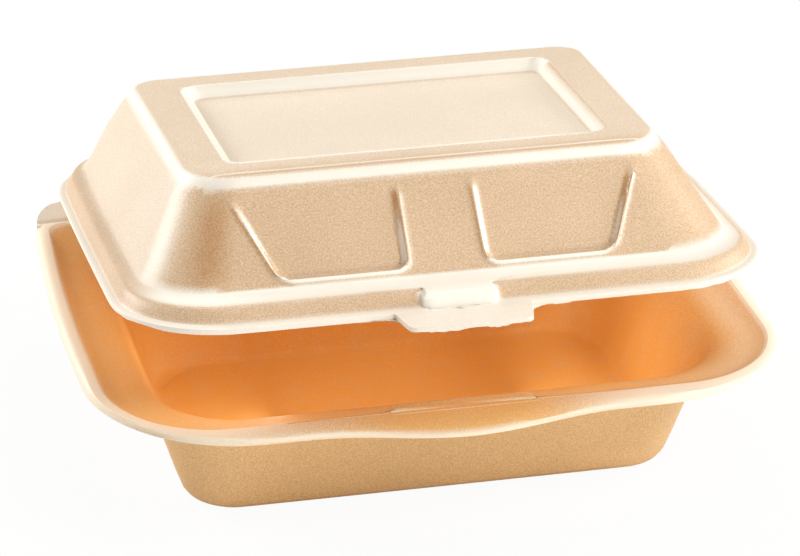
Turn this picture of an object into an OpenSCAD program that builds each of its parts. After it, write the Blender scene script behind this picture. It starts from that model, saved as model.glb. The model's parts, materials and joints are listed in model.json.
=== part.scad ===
// Hinged foam meal box: one formed sheet of foam with a tray, a lid and the scored hinge between them.
// Millimetres, +Z up. The origin is at the middle of the tray's underside and the front is at -Y.

/* [Tray] */
// Width over the tray's rim
rim_width = 240; // [225:1:260]
// Distance from the origin to the front of the rim
rim_front = 90.5; // [85:0.5:98]
// Distance from the origin to the hinge line at the back
rim_back = 86; // [80:0.5:92]
// Height of the rim above the table
tray_height = 48; // [40:0.5:60]
// Width of the tray at the foot of its walls
foot_width = 172; // [150:1:180]
// Depth of the tray at the foot of its walls
foot_depth = 110; // [96:1:120]
// Corner radius at the foot of the walls
foot_radius = 19; // [14:1:26]
// Corner radius of the rim at the front
rim_radius = 52; // [44:1:56]
// Corner radius of the rim at the back
rim_back_radius = 4; // [3:0.5:6]
// Width over the outside of the walls just under the rim
shoulder_width = 193; // [180:1:200]
// Depth of the step inside the rim that the lid drops towards
step_depth = 2.8; // [1.5:0.1:4]

/* [Sheet] */
// Thickness of the foam in the walls
wall = 2.1; // [1.6:0.1:3]
// Thickness of the foam where the edges are pressed
edge = 1.6; // [1.2:0.1:2]

/* [Lid] */
// Width over the lid's lip
lip_width = 221.6; // [212:0.2:224]
// Depth over the lid's lip
lip_depth = 191; // [184:0.5:194]
// Corner radius of the lip at the front
lip_radius = 38; // [30:1:44]
// Corner radius of the lip at the back
lip_back_radius = 44; // [34:1:48]
// Height of the deck above the underside of the lip
lid_height = 37.9; // [30:0.1:50]
// Height of the shelf at the foot of the lid's walls
shelf_height = 6.2; // [5.4:0.1:8]
// Width of the deck
deck_width = 158.8; // [145:0.2:168]
// Depth of the deck
deck_depth = 111.8; // [100:0.2:118]
// How far the deck stands behind the middle of the lid
deck_shift = 6.9; // [0:0.1:9]
// Width of the sunk panel in the deck
panel_width = 132; // [110:1:138]
// Depth of the sunk panel
panel_depth = 88.5; // [74:0.5:92]
// How deep the panel is sunk
panel_sink = 3.8; // [2:0.1:5]
// Depth of the two front recesses at their foot
recess_sink = 1.9; // [1:0.1:2.6]
// Gap between the two front recesses
recess_gap = 25; // [20:0.5:30]

/* [Catch] */
// Length of the tongue on the tray's rim that the tab holds to
tongue_length = 47; // [38:1:52]
// How far the tongue reaches in from the rim
tongue_reach = 5.2; // [3:0.1:6]
// Length of the pull lip at the front of the rim
pull_length = 106; // [80:1:116]
// How far the pull lip stands out from the rim
pull_reach = 5.8; // [3:0.1:8]
// How far the pull lip droops
pull_droop = 1.4; // [0.6:0.1:2]
// Width of the lid's tab at its root
tab_width = 46; // [38:1:48]
// How far the tab stands out from the lip
tab_reach = 14; // [9:0.5:15]
// How far the tab falls towards its tip
tab_fall = 0.6; // [0.3:0.1:0.7]
// Width of the pocket that is pressed up behind the tab
pocket_width = 25.4; // [20:0.2:30]

/* [Hinge] */
// Rise of the hinge strip at rest, in degrees
strip_rise = 43; // [36:0.5:46]
// Length of the narrow band between the two score lines at the lid
band_length = 2.4; // [2.2:0.1:3]
// Length of the hinge strip from the tray to the band
strip_length = 22.2; // [18:0.1:24]
// How far the lid stands open at rest, in degrees
ajar = 6.3; // [3:0.1:8]
// Radius of the rounded bead along a score line
bead = 0.7; // [0.6:0.05:0.9]
// Gap beside a bead
bead_gap = 0.3; // [0.25:0.05:0.4]

/* [Hidden] */
foam = [0.90, 0.76, 0.58];
corner_steps = 13;
side_steps = 4;
front_steps = 20;
half_rim = rim_width / 2;
foot_x = foot_width / 2;
foot_y = foot_depth / 2;
shoulder_x = shoulder_width / 2;
crown = tray_height;
step_z = crown - step_depth;
shoulder_z = crown - 9;
shoulder_front = foot_y + 11.5;
shoulder_back = foot_y + 12;
// How much the rim draws in towards the hinge, as a share of its width
rim_bow = 0.034;
// How much the lid draws in towards the hinge, and its dome spreads there, as shares of the width
lid_bow = 0.018;
dome_bow = -0.016;
lip_x = lip_width / 2;
lip_y = lip_depth / 2;
deck_x = deck_width / 2;
deck_y = deck_depth / 2;
panel_x = panel_width / 2;
panel_y = panel_depth / 2;
// Score lines, as [y, z]
score_depth = 2;
tray_score = [rim_back + bead + bead_gap, crown - score_depth];
uphill = [cos(strip_rise), sin(strip_rise)];
band_score = tray_score + strip_length * uphill;
lid_score = band_score + band_length * uphill;
// The lid's score line, as it lies in the level lid's own frame
score_drop = 0.5;
lid_own_score = [lip_y + bead + bead_gap, -score_drop];

function mix(a, b, t) = a + (b - a) * t;
function swell(x) = abs(x) < pull_length / 2 ? pow(cos(180 * x / pull_length), 2) : 0;
function corner(cx, cy, r, a) = [for (k = [0:corner_steps])
    [cx + r * cos(a + 90 * k / corner_steps), cy + r * sin(a + 90 * k / corner_steps)]];
function between(p, q, n) = [for (k = [1:n - 1]) mix(p, q, k / n)];
// Rounded oblong from y = -front to y = back, with its own corner radius at the front and at the back
function oblong(half, front, back, rf, rb) = let (
    br = corner(half - rb, back - rb, rb, 0),
    bl = corner(rb - half, back - rb, rb, 90),
    fl = corner(rf - half, rf - front, rf, 180),
    fr = corner(half - rf, rf - front, rf, 270))
    concat(br, between(br[corner_steps], bl[0], side_steps), bl, between(bl[corner_steps], fl[0], side_steps),
        fl, between(fl[corner_steps], fr[0], front_steps), fr, between(fr[corner_steps], br[0], side_steps));
// A level of the tray: bow draws it in towards the back, pull moves its front out and down
function tray_ring(z, half, front, back, rf, rb, bow = 0, pull = 0) = [
    for (p = oblong(half, front, back, rf, rb))
        let (s = p[1] < 0 ? pull * swell(p[0]) : 0, b = max(0, p[1]) / rim_back)
        [p[0] * (1 - bow * rim_bow * b * b), p[1] - pull_reach * s, z - pull_droop * s]];
// A level of the lid: draw is how much it draws in towards the hinge
function lid_ring(z, half, front, back, rf, rb, draw = lid_bow) = [for (p = oblong(half, front, back, rf, rb))
    let (b = max(0, p[1]) / lip_y) [p[0] * (1 - draw * b * b), p[1], z]];
// A closed solid through levels that all have as many points, from the lowest to the last. Its two ends are fans
module skin(rings) {
    n = len(rings[0]);
    m = len(rings);
    first = m * n;
    last = first + 1;
    polyhedron(
        points = concat([for (r = rings) each r], [[0, 0, rings[0][0][2]], [0, 0, rings[m - 1][0][2]]]),
        faces = concat([for (i = [0:n - 1]) [first, i, (i + 1) % n]],
            [for (j = [0:m - 2], i = [0:n - 1], h = [0, 1]) let (a = j * n + i, b = j * n + (i + 1) % n)
                h == 0 ? [a, a + n, b] : [b, a + n, b + n]],
            [for (i = [0:n - 1]) [last, (m - 1) * n + (i + 1) % n, (m - 1) * n + i]]),
        convexity = 8);
}

// Tray
module tray_outside() skin([
    tray_ring(0, foot_x - 5, foot_y - 5, foot_y - 5, foot_radius - 4, foot_radius - 4),
    tray_ring(1.1, foot_x - 2, foot_y - 2, foot_y - 2, foot_radius - 1.5, foot_radius - 1.5),
    tray_ring(4, foot_x, foot_y, foot_y, foot_radius, foot_radius),
    tray_ring(shoulder_z, shoulder_x, shoulder_front, shoulder_back, rim_radius - 22, rim_back_radius + 22),
    tray_ring(step_z - 3.6, shoulder_x + 2.6, shoulder_front + 3, shoulder_back + 3, rim_radius - 21,
        rim_back_radius + 21),
    tray_ring(step_z - 2, half_rim - 15, rim_front - 16.5, rim_back - 11, rim_radius - 20, rim_back_radius + 18),
    tray_ring(step_z - edge, half_rim - 10, rim_front - 11.9, rim_back - 6.5, rim_radius - 18,
        rim_back_radius + 12, 0.5),
    tray_ring(crown - edge - 0.4, half_rim - 5, rim_front - 7.1, rim_back - 1.6, rim_radius - 14,
        rim_back_radius + 4, 0.8, 0.3),
    tray_ring(crown - edge - 1, half_rim - 2.2, rim_front - 2.4, rim_back - 0.8, rim_radius - 8,
        rim_back_radius + 1, 1, 0.7),
    tray_ring(crown - 3.6, half_rim - 0.8, rim_front - 0.9, rim_back - 0.3, rim_radius - 1, rim_back_radius, 1, 0.95),
    tray_ring(crown - 3.1, half_rim, rim_front, rim_back, rim_radius, rim_back_radius, 1, 1),
    tray_ring(crown - 1.6, half_rim - 0.5, rim_front - 0.5, rim_back, rim_radius - 1, rim_back_radius, 1, 0.95),
    tray_ring(crown - 0.4, half_rim - 1.9, rim_front - 2.2, rim_back - 0.2, rim_radius - 8, rim_back_radius, 1, 0.7),
    tray_ring(crown, half_rim - 3.6, rim_front - 4.8, rim_back - 0.6, rim_radius - 12, rim_back_radius + 1, 1, 0.3),
    tray_ring(crown, half_rim - 4.4, rim_front - 7, rim_back - 1.1, rim_radius - 14, rim_back_radius + 2, 1)]);
module tray_inside() skin([
    tray_ring(wall, foot_x - wall - 4.4, foot_y - wall - 4.4, foot_y - wall - 4.4, foot_radius - 4, foot_radius - 4),
    tray_ring(wall + 0.9, foot_x - wall - 1.7, foot_y - wall - 1.7, foot_y - wall - 1.7, foot_radius - 2,
        foot_radius - 2),
    tray_ring(wall + 3.4, foot_x - wall + 0.3, foot_y - wall + 0.3, foot_y - wall + 0.3, foot_radius, foot_radius),
    tray_ring(shoulder_z + 0.6, shoulder_x - wall, shoulder_front - wall, shoulder_back - wall, rim_radius - 24,
        rim_back_radius + 20),
    tray_ring(step_z - 1.9, shoulder_x + 1.4, shoulder_front + 1.5, shoulder_back + 1.6, rim_radius - 22.5,
        rim_back_radius + 19),
    tray_ring(step_z - 0.6, half_rim - 17, rim_front - 18.5, rim_back - 13, rim_radius - 21, rim_back_radius + 16),
    tray_ring(step_z, half_rim - 12.6, rim_front - 15.3, rim_back - 10, rim_radius - 20, rim_back_radius + 13, 0.3),
    tray_ring(step_z + 0.3, half_rim - 9, rim_front - 11.9, rim_back - 6, rim_radius - 18, rim_back_radius + 8, 0.6),
    tray_ring(crown - 0.7, half_rim - 6, rim_front - 8.9, rim_back - 2.6, rim_radius - 16, rim_back_radius + 4, 0.9),
    tray_ring(crown - 0.1, half_rim - 4.9, rim_front - 7.4, rim_back - 1.6, rim_radius - 14, rim_back_radius + 2, 1),
    tray_ring(crown + 1, half_rim - 4.4, rim_front - 7, rim_back - 1.1, rim_radius - 14, rim_back_radius + 2, 1)]);
// The tongue: a flat step of the rim that reaches in over the tray's opening, with drawn-in ends
module tongue() {
    root_y = rim_front - 6;
    translate([0, 0, crown - edge]) linear_extrude(edge) polygon([
        [-tongue_length / 2, -root_y], [-tongue_length / 2 + 2, tongue_reach - root_y],
        [tongue_length / 2 - 2, tongue_reach - root_y], [tongue_length / 2, -root_y]]);
}
module tray() color(foam) union() {
    difference() {
        tray_outside();
        tray_inside();
    }
    tongue();
}

// Lid, drawn level with the underside of its lip at z = 0
foot_in_x = lip_x - 10.5;
foot_front = lip_y - 18;
foot_rear = lip_y - 13.5;
deck_front = deck_y - deck_shift;
deck_rear = deck_y + deck_shift;
panel_front = panel_y - deck_shift + 0.1;
panel_rear = panel_y + deck_shift - 0.1;
wall_top = lid_height - 4;
rear_bevel = 5.4;
wall_foot_z = shelf_height + 1.3;
mid_z = mix(wall_foot_z, wall_top, 0.5);
module lid_outside() skin([
    lid_ring(0, lip_x - 0.2, lip_y - 0.2, lip_y - 0.2, lip_radius, lip_back_radius),
    lid_ring(0.3, lip_x, lip_y, lip_y, lip_radius, lip_back_radius),
    lid_ring(edge - 0.3, lip_x, lip_y, lip_y, lip_radius, lip_back_radius),
    lid_ring(edge, lip_x - 0.5, lip_y - 0.5, lip_y - 0.5, lip_radius, lip_back_radius),
    lid_ring(edge, lip_x - 2.4, lip_y - 3.6, lip_y - 3.2, 35, 40),
    lid_ring(edge + 0.6, lip_x - 3.1, lip_y - 4.6, lip_y - 4, 33.5, 38),
    lid_ring(shelf_height - 1.2, lip_x - 4.7, lip_y - 7.2, lip_y - 6.2, 31, 34),
    lid_ring(shelf_height - 0.2, lip_x - 6, lip_y - 8.8, lip_y - 7.8, 29.5, 31),
    lid_ring(shelf_height, lip_x - 7.2, lip_y - 10.4, lip_y - 9.4, 28, 29),
    lid_ring(shelf_height + 0.1, foot_in_x + 0.8, foot_front + 1, foot_rear + 1, 25, 22),
    lid_ring(shelf_height + 1.3, foot_in_x - 0.7, foot_front - 0.9, foot_rear - 0.9, 24, 20),
    lid_ring(mid_z, mix(foot_in_x - 0.7, deck_x + 3.8, 0.5) + 0.5, mix(foot_front - 0.9, deck_front + 3.8, 0.5),
        mix(foot_rear - 0.9, deck_rear + rear_bevel, 0.5) + 0.8, 21.5, 14, dome_bow / 2),
    lid_ring(wall_top, deck_x + 3.8, deck_front + 3.8, deck_rear + rear_bevel, 19, 10, dome_bow),
    lid_ring(wall_top + 1.8, deck_x + 2.9, deck_front + 2.9, deck_rear + rear_bevel - 1, 18, 10, dome_bow),
    lid_ring(wall_top + 3.2, deck_x + 1.6, deck_front + 1.6, deck_rear + rear_bevel - 2.8, 17, 9.5, dome_bow),
    lid_ring(lid_height, deck_x, deck_front, deck_rear + 0.6, 15.5, 9, dome_bow),
    lid_ring(lid_height, panel_x, panel_front, panel_rear, 6, 6),
    lid_ring(lid_height - panel_sink, panel_x - 3.6, panel_front - 3.6, panel_rear - 3.6, 4, 4)]);
module lid_inside() skin([
    lid_ring(-1, lip_x - 4.4, lip_y - 5.8, lip_y - 5.4, 33, 37),
    lid_ring(0, lip_x - 4.4, lip_y - 5.8, lip_y - 5.4, 33, 37),
    lid_ring(shelf_height - edge - 1, lip_x - 6.3, lip_y - 8.8, lip_y - 8, 30, 31),
    lid_ring(shelf_height - edge, lip_x - 7.8, lip_y - 10.8, lip_y - 9.8, 28, 28),
    lid_ring(shelf_height - edge + 0.2, foot_in_x - 1.4, foot_front - 1.2, foot_rear - 1.2, 24, 20),
    lid_ring(shelf_height + 0.6, foot_in_x - 2.8, foot_front - 2.8, foot_rear - 2.8, 22, 18),
    lid_ring(mid_z - 0.8, mix(foot_in_x - 2.8, deck_x + 2, 0.5) + 0.5, mix(foot_front - 2.8, deck_front + 1.8, 0.5),
        mix(foot_rear - 2.8, deck_rear + rear_bevel - 1.8, 0.5) + 0.8, 19.5, 13, dome_bow / 2),
    lid_ring(wall_top - 0.8, deck_x + 2, deck_front + 1.8, deck_rear + rear_bevel - 1.8, 17, 9, dome_bow),
    lid_ring(lid_height - wall, deck_x - 1, deck_front - 1, deck_rear - 0.6, 14, 8, dome_bow),
    lid_ring(lid_height - wall, panel_x + 1.8, panel_front + 1.8, panel_rear + 1.8, 7, 7),
    lid_ring(lid_height - wall - panel_sink, panel_x - 1.8, panel_front - 1.8, panel_rear - 1.8, 5, 5)]);
// A front recess is deepest at its foot and fades out below the deck's bevel
wall_foot_y = foot_front - 0.9;
wall_top_y = deck_front + 3.8;
wall_run = norm([wall_foot_y - wall_top_y, wall_top - wall_foot_z]);
wall_down = atan2(wall_foot_z - wall_top, wall_top_y - wall_foot_y);
recess_start = 2;
recess_length = wall_run - recess_start - 1.4;
module recess(grow, deep) {
    fade = atan(recess_sink / recess_length);
    inner_x = recess_gap / 2;
    translate([0, -wall_top_y, wall_top]) rotate([wall_down, 0, 0]) translate([0, recess_start, deep])
        rotate([fade, 0, 0]) translate([0, 0, -12]) linear_extrude(12) hull() {
            translate([inner_x - grow, -grow]) square([57 + 2 * grow, 1]);
            translate([inner_x + 5.4 - grow, recess_length - 5 + grow]) circle(r = 5, $fn = 24);
            translate([inner_x + 41 + grow, recess_length - 5 + grow]) circle(r = 5, $fn = 24);
        }
}
// The tab and the pocket that is pressed up behind it
module tab() {
    root = tab_width / 2;
    tip = root - 4;
    hull() {
        translate([-root, -lip_y - 1, 0]) cube([2 * root, 4, edge]);
        for (side = [-1, 1]) translate([side * (tip - 1), 3 - lip_y - tab_reach, 0])
            multmatrix([[1, 0, 0, 0], [0, 1, 0, 0], [0, tab_fall / tab_reach, 1, -tab_fall]]) cylinder(r = 3, h = edge);
    }
}
module pocket(grow, top) hull() {
    half = pocket_width / 2 - grow;
    translate([-half, 2.6 + grow - lip_y, top - shelf_height]) cube([2 * half, 12, shelf_height - 1.6]);
    translate([-half + 1.4, 4 + grow - lip_y, top - shelf_height]) cube([2 * half - 2.8, 12, shelf_height]);
}
module level_lid() difference() {
    union() {
        difference() {
            lid_outside();
            for (side = [0, 1]) mirror([side, 0, 0]) recess(0, 0);
        }
        tab();
        pocket(0, shelf_height);
    }
    difference() {
        lid_inside();
        for (side = [0, 1]) mirror([side, 0, 0]) recess(wall * 0.8, wall);
    }
    pocket(edge, shelf_height - edge);
}
module lid() color(foam) translate([0, lid_score[0], lid_score[1]]) rotate([-ajar, 0, 0])
    translate([0, -lid_own_score[0], -lid_own_score[1]]) level_lid();

// Hinge: the strip rises from the tray and the band joins it to the lid, both uphill and away from the tray.
// Each is a bar with rounded edges on its score lines, drawn in section as [along, across]
strip_half = half_rim * (1 - rim_bow) - 1;
lid_edge_half = lip_x - lip_back_radius;
plate_top = -0.2;
plate_bottom = plate_top - edge;
plate_end = strip_length - bead - bead_gap;
function bead_arc(at, from, to, n = 8) = [for (k = [0:n]) let (a = mix(from, to, k / n))
    [at + bead * cos(a), bead * sin(a)]];
module uphill_bar(at, half, section) translate([-half, at[0], at[1]]) rotate([strip_rise, 0, 0])
    rotate([90, 0, 90]) linear_extrude(2 * half) polygon(section);
module hinge_band() color(foam)
    uphill_bar(band_score, lid_edge_half, concat(bead_arc(0, 90, 270), bead_arc(band_length, -90, 90)));
// The strip is full width at the tray, rounds in, and narrows to the straight part of the lid's back edge
strip_round = 9;
module strip_outline() {
    right = concat([[strip_half, -2]],
        [for (k = [0:6]) [strip_half - strip_round * (1 - cos(15 * k)), strip_round * sin(15 * k)]],
        [[lid_edge_half, strip_length - 1.4], [lid_edge_half, strip_length + 2]]);
    left = [for (k = [len(right) - 1:-1:0]) [-right[k][0], right[k][1]]];
    translate([0, tray_score[0], tray_score[1]]) rotate([strip_rise, 0, 0]) translate([0, 0, -4])
        linear_extrude(8) polygon(concat(right, left));
}
module hinge_strip() color(foam) intersection() {
    uphill_bar(tray_score, strip_half, concat(bead_arc(0, 60, 270), [[bead, plate_bottom],
        [plate_end, plate_bottom], [plate_end, plate_top], [2 * bead, plate_top]]));
    strip_outline();
}

tray();
hinge_strip();
hinge_band();
lid();
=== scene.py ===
"""Foam clamshell meal box: the looks of its tray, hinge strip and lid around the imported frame."""
import json
import math

import bmesh
import bpy
from mathutils import Matrix, Vector, noise


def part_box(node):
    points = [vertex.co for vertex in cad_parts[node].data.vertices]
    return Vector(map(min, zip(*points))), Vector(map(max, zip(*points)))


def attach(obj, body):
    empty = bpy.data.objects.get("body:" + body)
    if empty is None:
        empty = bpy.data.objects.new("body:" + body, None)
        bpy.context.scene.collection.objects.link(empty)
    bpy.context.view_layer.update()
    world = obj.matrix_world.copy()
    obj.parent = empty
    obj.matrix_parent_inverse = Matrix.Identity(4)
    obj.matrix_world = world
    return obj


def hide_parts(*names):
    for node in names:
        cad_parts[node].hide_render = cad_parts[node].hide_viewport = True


MM = 0.001
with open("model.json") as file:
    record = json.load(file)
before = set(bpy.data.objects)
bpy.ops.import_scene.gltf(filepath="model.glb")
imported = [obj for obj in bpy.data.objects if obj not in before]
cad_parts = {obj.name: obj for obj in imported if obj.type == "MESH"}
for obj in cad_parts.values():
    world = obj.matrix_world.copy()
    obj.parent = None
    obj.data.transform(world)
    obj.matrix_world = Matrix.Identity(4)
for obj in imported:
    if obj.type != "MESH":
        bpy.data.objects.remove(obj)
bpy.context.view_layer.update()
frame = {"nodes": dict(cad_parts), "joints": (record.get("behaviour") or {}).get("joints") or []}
nodes = frame["nodes"]

# Camera, as fitted to the photograph's 800 by 556 frame
FRAME_WIDTH = 800
CAMERA_AZIMUTH = -13.26
CAMERA_ELEVATION = 26.0
CAMERA_ROLL = 0.5
CAMERA_DISTANCE = 1492.9 * MM
CAMERA_TARGET = Vector((-1.2, -0.5, 55.8)) * MM
FOCAL_PIXELS = 4311.5
SENSOR_WIDTH = 36.0

# The lid's own frame at rest: its score line and how far it stands open
joints = {j["name"]: j for j in frame["joints"]}
LID_SCORE = Vector(joints["lid_hinge"]["pos_m"])
LID_AJAR = math.radians(6.3)
CROWN_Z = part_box("tray")[1][2]


def lid_level(point):
    """A point of the ajar lid as it would be with the lid level and its score line at the origin."""
    d = point - LID_SCORE
    c, s = math.cos(LID_AJAR), math.sin(LID_AJAR)
    return Vector((d.x, c * d.y - s * d.z, s * d.y + c * d.z))


def lid_world(q, turn_only=False):
    """The reverse of lid_level, for a point or a direction."""
    c, s = math.cos(LID_AJAR), math.sin(LID_AJAR)
    d = Vector((q.x, c * q.y + s * q.z, c * q.z - s * q.y))
    return d if turn_only else d + LID_SCORE


def smooth(low, high, value):
    """0 below low, 1 above high, and an even curve between."""
    t = min(1.0, max(0.0, (value - low) / (high - low)))
    return t * t * (3 - 2 * t)


def band(low, high, soft, value):
    """1 between low and high and 0 outside, with soft ends, in millimetres."""
    return smooth(low - soft, low + soft, value) * (1 - smooth(high - soft, high + soft, value))


# Meshes

def skin_copy(node, name, rounding):
    """A finer copy of a CAD node's skin: joined to quads, its sharp edges rounded, subdivided once."""
    source = nodes[node]
    mesh = source.data.copy()
    mesh.name = name
    mesh.materials.clear()
    mesh.transform(source.matrix_world)
    bm = bmesh.new()
    bm.from_mesh(mesh)
    bmesh.ops.remove_doubles(bm, verts=bm.verts, dist=0.02 * MM)
    bmesh.ops.dissolve_degenerate(bm, dist=0.01 * MM, edges=bm.edges)
    bmesh.ops.join_triangles(bm, faces=bm.faces, angle_face_threshold=math.radians(25),
                             angle_shape_threshold=math.radians(60))
    bm.to_mesh(mesh)
    bm.free()
    piece = bpy.data.objects.new(name, mesh)
    bpy.context.scene.collection.objects.link(piece)
    bevel = piece.modifiers.new("Edges", "BEVEL")
    bevel.width = rounding
    bevel.segments = 2
    bevel.limit_method = "ANGLE"
    bevel.angle_limit = math.radians(38)
    finer = piece.modifiers.new("Rounding", "SUBSURF")
    finer.levels = 1
    finer.render_levels = 1
    apply_modifiers(piece)
    for poly in piece.data.polygons:
        poly.use_smooth = True
    return piece


def apply_modifiers(piece):
    """Bakes the piece's modifiers into its mesh."""
    depsgraph = bpy.context.evaluated_depsgraph_get()
    made = bpy.data.meshes.new_from_object(piece.evaluated_get(depsgraph))
    piece.modifiers.clear()
    piece.data = made


def move_vertices(piece, shift):
    """Moves each vertex by shift(position, normal)."""
    moves = [shift(v.co, v.normal) for v in piece.data.vertices]
    for v, move in zip(piece.data.vertices, moves):
        v.co += move
    piece.data.update()


def soften(piece, chosen, times):
    """Evens out the vertices that chosen(position, normal) picks, each with its neighbours."""
    bm = bmesh.new()
    bm.from_mesh(piece.data)
    picked = [v for v in bm.verts if chosen(v.co, v.normal)]
    for _ in range(times):
        bmesh.ops.smooth_vert(bm, verts=picked, factor=0.5,
                              use_axis_x=True, use_axis_y=True, use_axis_z=True)
    bm.to_mesh(piece.data)
    bm.free()


def cut_faces(piece, chosen, planes):
    """Cuts the faces that chosen(centre, normal) picks along planes, each a point and a normal."""
    bm = bmesh.new()
    bm.from_mesh(piece.data)
    faces = [f for f in bm.faces if chosen(f.calc_center_median(), f.normal)]
    geom = list({v for f in faces for v in f.verts}) + list({e for f in faces for e in f.edges}) + faces
    for place, normal in planes:
        cut = bmesh.ops.bisect_plane(bm, geom=geom, dist=0.002 * MM, plane_co=place, plane_no=normal)
        geom = cut["geom"]
    bm.to_mesh(piece.data)
    bm.free()


def paint(piece, name, value):
    """A point attribute worked out from each vertex's position and normal."""
    layer = piece.data.attributes.new(name, "FLOAT", "POINT")
    for v in piece.data.vertices:
        layer.data[v.index].value = value(v.co, v.normal)


# Material effects

def new_group(name, inputs, outputs):
    """A shader node group with named sockets, and its input and output nodes."""
    group = bpy.data.node_groups.new(name, "ShaderNodeTree")
    for label, kind, value in inputs:
        socket = group.interface.new_socket(label, in_out="INPUT", socket_type=kind)
        if value is not None:
            socket.default_value = value
    for label, kind in outputs:
        group.interface.new_socket(label, in_out="OUTPUT", socket_type=kind)
    return group, group.nodes.new("NodeGroupInput"), group.nodes.new("NodeGroupOutput")


def math_node(tree, operation, a, b=None):
    """A math node whose operands are sockets or numbers."""
    node = tree.nodes.new("ShaderNodeMath")
    node.operation = operation
    for socket, value in zip(node.inputs, (a, b)):
        if isinstance(value, bpy.types.NodeSocket):
            tree.links.new(value, socket)
        elif value is not None:
            socket.default_value = value
    return node.outputs[0]


def noise_node(tree, vector, scale, detail, roughness=0.5):
    node = tree.nodes.new("ShaderNodeTexNoise")
    node.inputs["Scale"].default_value = scale
    node.inputs["Detail"].default_value = detail
    node.inputs["Roughness"].default_value = roughness
    tree.links.new(vector, node.inputs["Vector"])
    return node.outputs["Fac"]


# Noise scales, from the finest foam cells to the sheet's mottling
FINE_CELLS = 2300.0
COARSE_CELLS = 1500.0
STREAKS = 130.0
MOTTLING = 22.0
# How much of the grain's height each size of cell gives
FINE_SHARE = 0.9
COARSE_SHARE = 0.4
# Streaks are noise drawn out upwards
STREAK_SQUEEZE = (1.0, 1.0, 0.07)


def make_grain_group():
    """Foam grain: cells of about half a millimetre, the sheet's slow mottling and the walls' streaks."""
    group, inp, out = new_group(
        "foam_grain",
        [("Vector", "NodeSocketVector", None), ("Mottle", "NodeSocketFloat", 0.5)],
        [("Height", "NodeSocketFloat"), ("Speckle", "NodeSocketFloat"), ("Streak", "NodeSocketFloat")])
    vector = inp.outputs["Vector"]
    fine = noise_node(group, vector, FINE_CELLS, 2.0, 0.6)
    coarse = noise_node(group, vector, COARSE_CELLS, 2.0)
    slow = noise_node(group, vector, MOTTLING, 3.0)
    drawn = group.nodes.new("ShaderNodeVectorMath")
    drawn.operation = "MULTIPLY"
    drawn.inputs[1].default_value = STREAK_SQUEEZE
    group.links.new(vector, drawn.inputs[0])
    group.links.new(noise_node(group, drawn.outputs["Vector"], STREAKS, 2.0), out.inputs["Streak"])
    cells = math_node(group, "MULTIPLY_ADD", coarse, COARSE_SHARE)
    group.links.new(math_node(group, "MULTIPLY", fine, FINE_SHARE), cells.node.inputs[2])
    group.links.new(cells, out.inputs["Height"])
    around_zero = math_node(group, "SUBTRACT", slow, 0.5)
    mottled = math_node(group, "MULTIPLY", around_zero, inp.outputs["Mottle"])
    speckle = math_node(group, "ADD", cells, mottled)
    group.links.new(speckle, out.inputs["Speckle"])
    return group


GRAIN = make_grain_group()


def mix_colour(tree, factor, a, b):
    """A colour mix whose operands are sockets or colours."""
    node = tree.nodes.new("ShaderNodeMix")
    node.data_type = "RGBA"
    for socket, value in ((node.inputs["Factor"], factor), (node.inputs[6], a), (node.inputs[7], b)):
        if isinstance(value, bpy.types.NodeSocket):
            tree.links.new(value, socket)
        else:
            socket.default_value = value
    return node.outputs[2]


def map_range(tree, value, from_low, from_high, to_low=0.0, to_high=1.0):
    """A socket's value carried from one span to another."""
    node = tree.nodes.new("ShaderNodeMapRange")
    node.inputs["From Min"].default_value = from_low
    node.inputs["From Max"].default_value = from_high
    node.inputs["To Min"].default_value = to_low
    node.inputs["To Max"].default_value = to_high
    tree.links.new(value, node.inputs["Value"])
    return node.outputs["Result"]


def attribute_node(tree, name):
    node = tree.nodes.new("ShaderNodeAttribute")
    node.attribute_name = name
    return node.outputs["Fac"]


def srgb(r, g, b):
    """A colour given as 0 to 255 in the display's own curve."""
    return tuple(((c / 255 + 0.055) / 1.055) ** 2.4 if c > 10 else c / 3295 for c in (r, g, b)) + (1.0,)


# Painted shade: the brown laid on corners and lines that the lamps leave dark
SHADE_BROWN = srgb(196, 142, 84)


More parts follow.
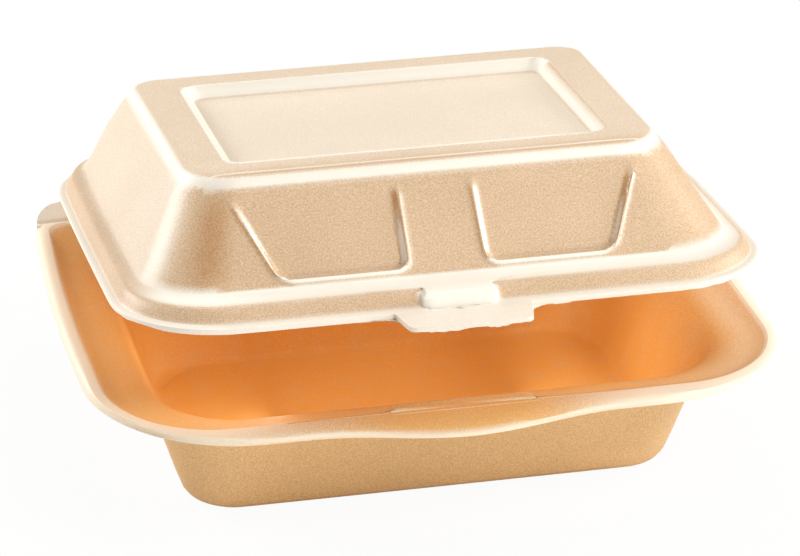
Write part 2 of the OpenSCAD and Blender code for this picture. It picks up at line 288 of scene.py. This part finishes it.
def foam(name, outside, inside, highlight, dark, roughness, bump, mottle):
    """Formed foam: a tint for the outer skin, one for the inner side where the attribute deep says, a
    brown for painted shade and a lighter colour for painted highlights where the mesh says, and a fine
    speckle over all."""
    material = bpy.data.materials.new(name)
    material.use_nodes = True
    tree = material.node_tree
    shader = tree.nodes["Principled BSDF"]
    coordinates = tree.nodes.new("ShaderNodeTexCoord").outputs["Object"]
    grain = tree.nodes.new("ShaderNodeGroup")
    grain.node_tree = GRAIN
    grain.inputs["Mottle"].default_value = mottle
    tree.links.new(coordinates, grain.inputs["Vector"])
    deep = attribute_node(tree, "deep")
    painted_highlight = attribute_node(tree, "painted_highlight")
    streaked = map_range(tree, grain.outputs["Streak"], 0.45, 0.75, 0.0, 0.4)
    inner = mix_colour(tree, streaked, inside, outside)
    skin = mix_colour(tree, deep, outside, inner)
    # Painted shade in brown over the skin's own colours, then the lighter painted highlight tint over
    # that
    shaded = mix_colour(tree, attribute_node(tree, "painted_shade"), skin, SHADE_BROWN)
    tint = mix_colour(tree, painted_highlight, shaded, highlight)
    spread = map_range(tree, grain.outputs["Speckle"], 0.5, 0.8)
    plain = math_node(tree, "MAXIMUM", spread, math_node(tree, "MULTIPLY", deep, 0.6))
    plain = math_node(tree, "MAXIMUM", plain, math_node(tree, "MULTIPLY", painted_highlight, 0.85))
    darker = mix_colour(tree, 1.0, tint, dark)
    darker.node.blend_type = "MULTIPLY"
    tree.links.new(mix_colour(tree, plain, darker, tint), shader.inputs["Base Color"])
    shader.inputs["Roughness"].default_value = roughness
    shader.inputs["Specular IOR Level"].default_value = 0.4
    height = tree.nodes.new("ShaderNodeBump")
    height.inputs["Distance"].default_value = 0.12 * MM
    tree.links.new(grain.outputs["Height"], height.inputs["Height"])
    tree.links.new(map_range(tree, painted_highlight, 0.0, 1.0, bump, 0.3 * bump), height.inputs["Strength"])
    tree.links.new(height.outputs["Normal"], shader.inputs["Normal"])
    return material


CREAM = srgb(226, 197, 164)
TAN = srgb(240, 200, 146)
ORANGE = srgb(247, 190, 106)
# The next two are painted highlight colours, first for the tray's and hinge's lit edges, then for the
# lid's
PALE_HIGHLIGHT = srgb(255, 244, 224)
WHITE_HIGHLIGHT = srgb(253, 249, 239)
# Painted light: a near white for the hinge strip, standing in for the light that the lid keeps off it
HINGE_BRIGHTENED = srgb(255, 252, 240)
GRAIN_DARK = (0.72, 0.67, 0.60, 1.0)
FAINT_GRAIN = (0.93, 0.90, 0.87, 1.0)
LID_FOAM = foam("lid_foam", CREAM, ORANGE, WHITE_HIGHLIGHT, GRAIN_DARK, 0.42, 0.5, 0.2)
TRAY_FOAM = foam("tray_foam", TAN, ORANGE, PALE_HIGHLIGHT, GRAIN_DARK, 0.42, 0.35, 0.12)
HINGE_FOAM = foam("hinge_foam", HINGE_BRIGHTENED, ORANGE, PALE_HIGHLIGHT, FAINT_GRAIN, 0.45, 0.2, 0.2)


# Tray

TRAY_HALF_X = 118 * MM
TRAY_HALF_Y = 85 * MM
tray = skin_copy("tray", "tray_shell", 0.3 * MM)


def tray_depth(p, n):
    """1 on the inner walls, the floor and the step inside the rim, 0 outside and on the rim."""
    outward = Vector((p.x / TRAY_HALF_X, p.y / TRAY_HALF_Y, 0)).normalized()
    inner = 1.0 if n.dot(outward) < 0.2 and n.z > -0.3 and p.z > 1.5 * MM else 0.0
    pull = 0.0
    if p.y < -79 * MM and p.z > 43 * MM and n.z > 0.3:
        pull = 0.75 * (1 - smooth(18 * MM, 52 * MM, abs(p.x)))
    # Painted light: the upper inner walls take less of the inside tint, most on the right, where light
    # from outside reaches them
    lit_upper = (0.1 + 0.25 * smooth(60 * MM, 100 * MM, p.x)) * smooth(18 * MM, 40 * MM, p.z)
    return max(pull, inner * (1 - lit_upper) * (1 - smooth(CROWN_Z - 1.0 * MM, CROWN_Z - 0.2 * MM, p.z)))


def tray_highlight(p, n):
    """Painted highlight on the rolled rim, least at the pull lip in the middle of the front, most
    towards the right, and a line where the front rim rolls over.
    """
    rim = smooth(CROWN_Z - 4.6 * MM, CROWN_Z - 2.6 * MM, p.z) * (1 - tray_depth(p, n))
    pull = (1 - smooth(28 * MM, 80 * MM, abs(p.x + 8 * MM))) * (1 - smooth(-75 * MM, -55 * MM, p.y))
    turn = band(0.3, 0.8, 0.15, n.z) if p.y < -76 * MM and n.y < -0.2 and p.z > 38 * MM else 0.0
    return max(0.9 * turn, rim * (0.85 - 0.6 * pull + 0.15 * smooth(20 * MM, 90 * MM, p.x)))


def on_tongue(p, n):
    return abs(p.x) < 30 * MM and -87 * MM < p.y < -78.5 * MM and p.z > 44.5 * MM and n.z > -0.2


LEAN = 1.6 * MM
TONGUE_LIFT = 0.1 * MM
TONGUE_PUSH = 1.3 * MM
TONGUE_SPREAD = 0.08


def tray_give(p, n):
    """The soft tray leans a little to the right at its front, and its tongue stands proud of the rim."""
    lean = LEAN * (1 - smooth(-75 * MM, 10 * MM, p.y)) * smooth(12 * MM, 40 * MM, p.z)
    if not (abs(p.x) < 24 * MM and -84.4 * MM < p.y < -79 * MM and p.z > 46 * MM):
        return Vector((lean, 0, 0))
    push = TONGUE_PUSH * smooth(-84.4 * MM, -80 * MM, p.y)
    return Vector((lean + TONGUE_SPREAD * p.x, push, TONGUE_LIFT))


move_vertices(tray, tray_give)
soften(tray, on_tongue, 4)
paint(tray, "deep", tray_depth)
paint(tray, "painted_highlight", tray_highlight)
tray.data.materials.append(TRAY_FOAM)
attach(tray, "tray")
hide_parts("tray")

# Lid, whose measures are those of the level lid with its score line at the origin

LID_HALF_X = 110 * MM
LID_HALF_Y = 95.5 * MM
LID_MIDDLE_Y = -96.5 * MM
# Heights in millimetres: the walls' foot and head, the lowest skin of the deck, and the deck's top
WALL_FOOT = 8
WALL_HEAD = 34.4
DECK_LOW = 33.6
DECK_TOP = 37.9
lid = skin_copy("lid", "lid_shell", 0.35 * MM)


def on_inner_side(p, n):
    q = lid_level(p)
    sideways = n.x * q.x / LID_HALF_X + n.y * (q.y - LID_MIDDLE_Y) / LID_HALF_Y
    return q.z > 1.2 * MM and n.z < 0.05 and (sideways < 0 or n.z < -0.7)


# The front wall, in millimetres: down it from its top edge, and outwards from it
WALL_TOP = Vector((0, -149.3, 34.4)) * MM
WALL_DOWN = Vector((0, -0.6697, -0.7428))
WALL_OUT = Vector((0, -0.7428, 0.6697))


def front_wall(q):
    """Width, the way down the front wall and the height off it, in millimetres."""
    d = (q - WALL_TOP) / MM
    return abs(d.x), d.dot(WALL_DOWN), d.dot(WALL_OUT)


# A front recess, in millimetres: its sides across the wall, how they lean, its foot and its corners
RECESS_INNER = 12.5
RECESS_INNER_LEAN = 0.014
RECESS_OUTER = 69.5
RECESS_OUTER_LEAN = 0.407
RECESS_OUTER_SLANT = 1.08
RECESS_START = 3
RECESS_FOOT = 34.1
RECESS_ROUND = 5


def recess_edge(x, down):
    """How far a point of the front wall lies outside the outline of a recess, in millimetres."""
    inner = RECESS_INNER + RECESS_INNER_LEAN * down - x
    outer = (x - RECESS_OUTER + RECESS_OUTER_LEAN * (down - RECESS_START)) / RECESS_OUTER_SLANT
    side = max(inner, outer)
    foot = down - RECESS_FOOT
    if min(side, foot) > -RECESS_ROUND:
        return math.hypot(side + RECESS_ROUND, foot + RECESS_ROUND) - RECESS_ROUND
    return max(side, foot)


def at_recess(x, down, out, n):
    """Whether a point of front_wall lies on the outer skin in or round the recesses."""
    return x < 76 and 1.5 < down < 36 and -2.3 < out < 1 and n.y < -0.3


# The deck's sunk panel, in millimetres: half its straight sides, its middle and its corner radius
PANEL_STRAIGHT_X = 60
PANEL_STRAIGHT_Y = 38.25
PANEL_MIDDLE_Y = -89.7
PANEL_ROUND = 6


def panel_edge(q):
    """How far a point of the deck lies outside the outline of its sunk panel, in millimetres."""
    x = abs(q.x) / MM - PANEL_STRAIGHT_X
    y = abs(q.y / MM - PANEL_MIDDLE_Y) - PANEL_STRAIGHT_Y
    return math.hypot(max(x, 0), max(y, 0)) + min(max(x, y), 0) - PANEL_ROUND


def level_plane(place, normal):
    """A plane of the level lid, its place in millimetres, set where the lid stands."""
    return lid_world(place * MM), lid_world(normal, True)


def plane_at_x(x):
    return level_plane(Vector((x, 0, 0)), Vector((1, 0, 0)))


def plane_at_y(y):
    return level_plane(Vector((0, y, 0)), Vector((0, 1, 0)))


def on_front_wall(p, n):
    x, down, out = front_wall(lid_level(p))
    return x < 76 and -1 < down < 36.5 and abs(out) < 3.2 and n.dot(lid_world(WALL_OUT, True)) > 0.75


def on_front_lip(p, n):
    q = lid_level(p)
    return q.y < -180 * MM and q.z < 7.6 * MM and abs(q.x) < 60 * MM and not (q.z > 1.2 * MM and n.z < 0)


def on_deck(p, n):
    return lid_level(p).z > 33 * MM and n.z > 0.2


# Where fine lines run beside the sunk panel and along the deck's front edge, in millimetres
DECK_CUTS_X = (60.0, 60.9, 61.8, 66.5, 67.2, 68)
DECK_CUTS_Y = (-145.1, -144.5, -143.9, -143.2, -136.0, -135.2, -134.5, -129.4, -128.4, -51, -50,
               -44.9, -44.2, -43.4)

wall_rows = [level_plane(WALL_TOP / MM + WALL_DOWN * (1 + 0.8 * k), WALL_DOWN) for k in range(44)]
wall_columns = [plane_at_x(side * (8 + 0.9 * k)) for side in (-1, 1) for k in range(73)]
cut_faces(lid, on_front_wall, wall_rows + wall_columns)
cut_faces(lid, on_front_lip, [plane_at_x(x) for x in range(-46, 42)])
deck_columns = [plane_at_x(x) for v in DECK_CUTS_X for x in (-v, v)]
cut_faces(lid, on_deck, deck_columns + [plane_at_y(y) for y in DECK_CUTS_Y])


def lid_depth(p, n):
    """1 on the lid's inner side, but for the foot of the pocket."""
    q = lid_level(p) / MM
    at_foot = abs(q.x) < 16 and q.y < -186.5 and q.z < 3.4
    return 1.0 if on_inner_side(p, n) and not at_foot else 0.0


# The middle of a front corner's curve at the wall's head, and how far it moves out by the foot
CORNER_X = 64
CORNER_X_SPREAD = 6
CORNER_Y = 130
CORNER_Y_SPREAD = 19


def lid_shade(p, n):
    """Painted shade: a brown band down the front left corner, dark lines by the sunk panel and the
    deck's front edge, and dark recess edges that face left.
    """
    if on_inner_side(p, n):
        return 0.0
    q = lid_level(p)
    h = q.z / MM
    x, down, out = front_wall(q)
    # Painted shade on the deck: at the foot of the sunk panel's back and right slopes, a line along its
    # back edge, over its right slope, and a line along the deck's front edge
    if h > DECK_LOW and n.z > 0.2:
        edge = panel_edge(q)
        back = smooth(-55, -50, q.y / MM)
        right = smooth(58, 62, q.x / MM) * (1 - back)
        painted_shade = band(-5.4, -3.0, 0.5, edge) * (0.6 * back + 0.25 * right)
        rim = band(0.8, 1.7, 0.3, edge) * 0.45 * back
        slope = 0.15 * right * band(-3.8, 0.2, 0.4, edge)
        return max(painted_shade, rim, slope, 0.4 * band(-145.3, -144.5, 0.25, q.y / MM))
    # Painted shade: a brown band down the front left corner, between the faces that the left lamp and
    # the key light
    t = (WALL_HEAD - h) / (WALL_HEAD - WALL_FOOT)
    across = -q.x / MM - CORNER_X - CORNER_X_SPREAD * t
    ahead = -q.y / MM - CORNER_Y - CORNER_Y_SPREAD * t
    corner = math.degrees(math.atan2(across, ahead))
    drawn = 0.62 * smooth(0, 26, corner) * (1 - smooth(26, 50, corner))
    drawn *= smooth(7, 12, h) * (1 - smooth(26, 37, h))
    # Painted shade on the recess edges that face left, away from the key
    if at_recess(x, down, out, n):
        facing_left = smooth(0.12, 0.35, -n.x)
        side = band(-2.4, 0.9, 0.5, recess_edge(x, down))
        return max(drawn, 0.75 * facing_left * side * smooth(2, 7, down))
    return drawn


def lid_highlight(p, n):
    """Painted highlight on the lip, shelf, bevel, deck and its lines, pocket, recess edges facing the
    key and walls facing the left lamp.
    """
    if on_inner_side(p, n):
        return 0.0
    q = lid_level(p)
    h = q.z / MM
    x, down, out = front_wall(q)
    side = 1 - 0.75 * (1 - smooth(-104 * MM, -91 * MM, q.x)) * smooth(-178 * MM, -150 * MM, q.y)
    lip = 1 - smooth(1.9, 2.7, h)
    shelf = band(6.5, 7.9, 0.3, h)
    bevel = band(34.6, 37.9, 0.7, h)
    deck = 0.0
    # Painted highlight on the deck: its sunk panel's rim and its back and left slopes, a line by the
    # front edge, and a lighter deck, less outside the panel, towards the front edge and on the right
    # slope
    if h > DECK_LOW and n.z > 0.2:
        edge = panel_edge(q)
        back = smooth(-55, -50, q.y / MM)
        right = smooth(56, 62, q.x / MM) * (1 - back)
        ridge = band(-0.6, 1.0, 0.3, edge) * (1 - 0.8 * right)
        slope = band(-3.2, 0.4, 0.4, edge) * max(back, 0.8 * (1 - smooth(-62, -58, q.x / MM)))
        line = band(-144.2, -143.3, 0.25, q.y / MM)
        plain = 0.6 - 0.2 * smooth(0, 1.5, edge) - 0.25 * (1 - smooth(-145 * MM, -137 * MM, q.y))
        deck = max(ridge, slope, 0.9 * line, plain - 0.4 * right * band(-3.8, 0.2, 0.4, edge))
    highlight = 0.0
    # Painted highlight on the recess edges that face right or up, towards the key, and along the recess
    # foot
    if at_recess(x, down, out, n):
        lit = max(smooth(0.12, 0.4, n.x), smooth(0.78, 0.9, n.z)) * (1 - smooth(0.08, 0.25, -n.x))
        lit = max(lit, smooth(32, 33.4, down))
        highlight = lit * band(-2.0, 1.2, 0.5, recess_edge(x, down)) * smooth(2, 8, down)
    # Painted highlight on the walls that face the left lamp, and on the front left corner beside them
    left_wall = 0.4 * smooth(0.55, 0.75, -n.x) * band(8, 35, 1, h)
    left_wall += 0.5 * smooth(0.45, 0.7, -n.x) * smooth(0.12, 0.35, -n.y) * band(7, 30, 4, h)
    tab = 1 - smooth(-194, -190, q.y / MM)
    lip *= 0.95 - 0.17 * tab
    pocket = 0.0
    if q.y < -184 * MM:
        pocket = band(1.0, 8.0, 0.5, h) * (1 - smooth(12.5 * MM, 14.5 * MM, abs(q.x))) * (1 - 0.22 * tab)
    bevel *= 0.95 if n.z < 0.93 else 0.5
    return max(lip, shelf * side, bevel, deck, highlight, left_wall, pocket)


RAMP_REACH = 2.0 * MM


def pocket_ramp(q):
    """The pocket's front runs out into the tab as a ramp."""
    if not -191 < q.y / MM < -185.5 or q.z < 1.9 * MM:
        return Vector((0, 0, 0))
    across = 1 - smooth(10.5 * MM, 13.2 * MM, abs(q.x))
    low = 1 - smooth(1.5 * MM, 6.4 * MM, q.z)
    return Vector((0, -RAMP_REACH * across * low, 0))


def recess_slope(q, n):
    """Turns a recess's steep side walls into slopes with a fine burr along their outer edge."""
    x, down, out = front_wall(q)
    if x > 76 or not 1 < down < 36.5 or not -2.08 < out < 1 or n.dot(lid_world(WALL_OUT, True)) < -0.2:
        return Vector((0, 0, 0))
    edge = recess_edge(x, down)
    fade = smooth(2, 8, down)
    foot = smooth(30, 33, down)
    raised = -out * smooth(-2.3, -0.2, edge) * (1 - smooth(64, 67, x)) if out < 0 and edge < 0.8 else 0.0
    sunk = -0.35 * fade * (1 - smooth(-2.6, -1.4, edge)) if edge < 0 else 0.0
    burr = (0.5 + 0.3 * foot) * fade * band(-0.7, 0.9 + 0.3 * foot, 0.6, edge)
    return lid_world(WALL_OUT, True) * (raised + sunk + burr) * MM


# Where flakes of the trimmed edge hang below the lip and the tab, as spans across in millimetres
FLAKES = ((-40, -29), (-14.5, -3), (6, 12), (27, 36))
# How far the edge may hang: the shut lip lies 0.7 mm over the tray's crown, and less over its tongue
LIP_ROOM = 0.6
TONGUE_ROOM = 0.25
TIP_ROOM = 0.75


def trim(q):
    """The trimmed edge: a fillet into the tab's left side, flakes that hang down and a ragged line."""
    x = q.x / MM
    low = 1 - smooth(0.9, 1.7, q.z / MM)
    ahead = 1 - smooth(-184, -176, q.y / MM)
    fillet = -1.1 * smooth(-38, -22, x) ** 2 * (1 - smooth(-190.5, -189, q.y / MM))
    if q.y / MM < -193.2 or x > -21.4:
        fillet = 0.0
    fine = noise.noise(Vector((x, q.y / MM, 3)) / 1.3)
    flake = max(band(a, b, 0.8, x) for a, b in FLAKES) * ahead * (0.75 + 0.5 * fine)
    rough = noise.noise(Vector((x, q.y / MM, 0)) / 5) + 0.6 * fine
    ragged = max(0.0, rough) * 0.5 * (1 - smooth(-184, -120, q.y / MM))
    clear_of_tab = smooth(25, 31, abs(x))
    droop = ahead * clear_of_tab * (0.6 if x < 0 else 0.3)
    room = TONGUE_ROOM if q.y / MM > -199 else TIP_ROOM
    if abs(x) > 31:
        room = LIP_ROOM
    hang = min(room, droop + ragged + 0.7 * flake)
    return Vector((0, fillet, -low * hang)) * MM


DECK_BURR = 0.35 * MM


def deck_burr(q, n):
    """A fine raised line round the sunk panel and along the deck's front edge."""
    if q.z < DECK_TOP * MM or n.z < 0.6:
        return Vector((0, 0, 0))
    ridge = band(-0.4, 0.9, 0.4, panel_edge(q)) + 0.6 * band(-144.2, -143.3, 0.3, q.y / MM)
    return Vector((0, 0, DECK_BURR * ridge))


BULGE = 3.2 * MM
BULGE_RISE = 26
TUCK = -2.4 * MM
DENT = 2.0 * MM
DENT_RADIUS = 7 * MM
DENT_PLACE = Vector((-92, -40, 11)) * MM


def lid_give(p, n):
    """How the soft lid differs from its pressed form: also a bulge low in the right wall, a tuck behind
    it and a dent low at the left wall's back."""
    q = lid_level(p)
    h = q.z / MM
    t = min(1.0, max(0.0, (h - WALL_FOOT) / BULGE_RISE))
    bulge = BULGE * math.sin(math.pi * t ** 0.8)
    bulge *= smooth(62 * MM, 84 * MM, q.x) * smooth(-150 * MM, -95 * MM, q.y)
    tuck = TUCK * smooth(88 * MM, 104 * MM, q.x) * smooth(-95 * MM, -45 * MM, q.y)
    tuck *= 1 - smooth(6, 8, h)
    near = (q - DENT_PLACE) / DENT_RADIUS
    dent = DENT * math.exp(-near.length_squared) if q.x < 0 and not on_inner_side(p, n) else 0.0
    sideways = Vector((bulge + tuck + dent, 0, 0))
    return sideways + pocket_ramp(q) + recess_slope(q, n) + deck_burr(q, n) + trim(q)


def on_recess_edge(p, n):
    x, down, out = front_wall(lid_level(p))
    on_wall = x < 76 and 2 < down < 36 and -1.9 < out < 1.2 and n.y < -0.2
    return on_wall and -1.6 < recess_edge(x, down) < 1.3


def on_recess_tip(p, n):
    x, down, out = front_wall(lid_level(p))
    return 65.5 < x < 73 and 0 < down < 8.5 and -1.6 < out < 1 and n.dot(lid_world(WALL_OUT, True)) > 0


def on_pocket(p, n):
    q = lid_level(p) / MM
    return abs(q.x) < 32 and -193 < q.y < -180 and 1.95 < q.z < 7.4 and not on_inner_side(p, n)


move_vertices(lid, lid_give)
soften(lid, on_pocket, 4)
soften(lid, on_recess_edge, 2)
soften(lid, on_recess_tip, 5)
paint(lid, "deep", lid_depth)
paint(lid, "painted_shade", lid_shade)
paint(lid, "painted_highlight", lid_highlight)
lid.data.materials.append(LID_FOAM)
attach(lid, "lid")
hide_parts("lid")

# Hinge

for node in ("hinge_band", "hinge_strip"):
    nodes[node].data.materials.clear()
    nodes[node].data.materials.append(HINGE_FOAM)


# Studio

def area_light(name, place, target, size, energy, colour=(1, 1, 1)):
    lamp = bpy.data.lights.new(name, "AREA")
    lamp.shape = "RECTANGLE"
    lamp.size = size[0]
    lamp.size_y = size[1]
    lamp.energy = energy
    lamp.color = colour
    obj = bpy.data.objects.new(name, lamp)
    bpy.context.scene.collection.objects.link(obj)
    obj.location = place
    obj.rotation_mode = "QUATERNION"
    obj.rotation_quaternion = (Vector(place) - Vector(target)).to_track_quat("Z", "Y")
    return obj


AIM = (0, 0, 0.05)
GLOW = (1.0, 0.95, 0.82)
for name, place, size, energy in (
        ("top", (0.2, 0.3, 1.35), (0.8, 0.8), 5.5),
        ("key", (0.7, -0.75, 1.0), (0.45, 0.45), 9.2),
        ("left", (-0.9, 0.75, 0.5), (0.6, 0.5), 13.5),
        ("right", (1.2, 0.1, 0.55), (0.5, 0.4), 7.6),
        ("low_front", (0.2, -1.7, 0.15), (1.4, 0.2), 8.5)):
    area_light(name, place, AIM, size, energy)
# Small lamps over the tray's inside, for light that passes through the thin foam
for name, place, target, size, energy in (
        ("inner_glow", (0, 0.005, 0.056), (0, 0, 0), (0.14, 0.09), 0.017),
        ("inner_left", (-0.05, -0.01, 0.054), (-0.12, -0.01, 0.045), (0.04, 0.09), 0.023),
        ("inner_right", (0.05, -0.01, 0.054), (0.12, -0.01, 0.045), (0.04, 0.09), 0.015)):
    area_light(name, place, target, size, energy, GLOW).visible_camera = False

world = bpy.data.worlds.new("studio")
bpy.context.scene.world = world
world.use_nodes = True
# White where the camera sees it, and a dim warm fill light otherwise
FILL = 0.22
FILL_COLOUR = (1.0, 0.87, 0.70, 1)
wt = world.node_tree
background = wt.nodes["Background"]
path = wt.nodes.new("ShaderNodeLightPath")
seen = math_node(wt, "MAXIMUM", path.outputs["Is Camera Ray"], path.outputs["Is Transmission Ray"])
strength = math_node(wt, "MULTIPLY_ADD", seen, 1 - FILL)
strength.node.inputs[2].default_value = FILL
wt.links.new(strength, background.inputs["Strength"])
wt.links.new(mix_colour(wt, seen, FILL_COLOUR, (1, 1, 1, 1)), background.inputs["Color"])


def make_floor():
    """A pale round floor that shows as white and keeps a faint shadow."""
    bm = bmesh.new()
    bmesh.ops.create_circle(bm, cap_ends=True, segments=64, radius=3.0)
    mesh = bpy.data.meshes.new("floor")
    bm.to_mesh(mesh)
    bm.free()
    obj = bpy.data.objects.new("floor", mesh)
    bpy.context.scene.collection.objects.link(obj)
    material = bpy.data.materials.new("floor_white")
    material.use_nodes = True
    tree = material.node_tree
    shader = tree.nodes["Principled BSDF"]
    shader.inputs["Base Color"].default_value = (0.86, 0.85, 0.84, 1)
    shader.inputs["Roughness"].default_value = 0.9
    glow = tree.nodes.new("ShaderNodeEmission")
    glow.inputs["Strength"].default_value = 1.0
    mixer = tree.nodes.new("ShaderNodeMixShader")
    rays = tree.nodes.new("ShaderNodeLightPath")
    tree.links.new(math_node(tree, "MULTIPLY", rays.outputs["Is Camera Ray"], 0.95), mixer.inputs["Fac"])
    tree.links.new(shader.outputs[0], mixer.inputs[1])
    tree.links.new(glow.outputs[0], mixer.inputs[2])
    tree.links.new(mixer.outputs[0], tree.nodes["Material Output"].inputs["Surface"])
    mesh.materials.append(material)


make_floor()


def make_camera():
    """The photograph's camera: looks at the target from its azimuth and elevation, rolled a little."""
    a, e, r = (math.radians(v) for v in (CAMERA_AZIMUTH, CAMERA_ELEVATION, CAMERA_ROLL))
    back = Vector((math.sin(a) * math.cos(e), -math.cos(a) * math.cos(e), math.sin(e)))
    right = Vector((math.cos(a), math.sin(a), 0))
    up = back.cross(right)
    turned_right = right * math.cos(r) + up * math.sin(r)
    turned_up = up * math.cos(r) - right * math.sin(r)
    data = bpy.data.cameras.new("camera")
    data.sensor_width = SENSOR_WIDTH
    data.sensor_fit = "HORIZONTAL"
    data.lens = FOCAL_PIXELS / FRAME_WIDTH * SENSOR_WIDTH
    data.clip_start = 0.05
    data.clip_end = 20
    obj = bpy.data.objects.new("camera", data)
    bpy.context.scene.collection.objects.link(obj)
    turn = Matrix((turned_right, turned_up, back)).transposed()
    obj.rotation_mode = "QUATERNION"
    obj.rotation_quaternion = turn.to_quaternion()
    obj.location = CAMERA_TARGET + back * CAMERA_DISTANCE
    bpy.context.scene.camera = obj


make_camera()
bpy.context.scene.view_settings.view_transform = "Standard"
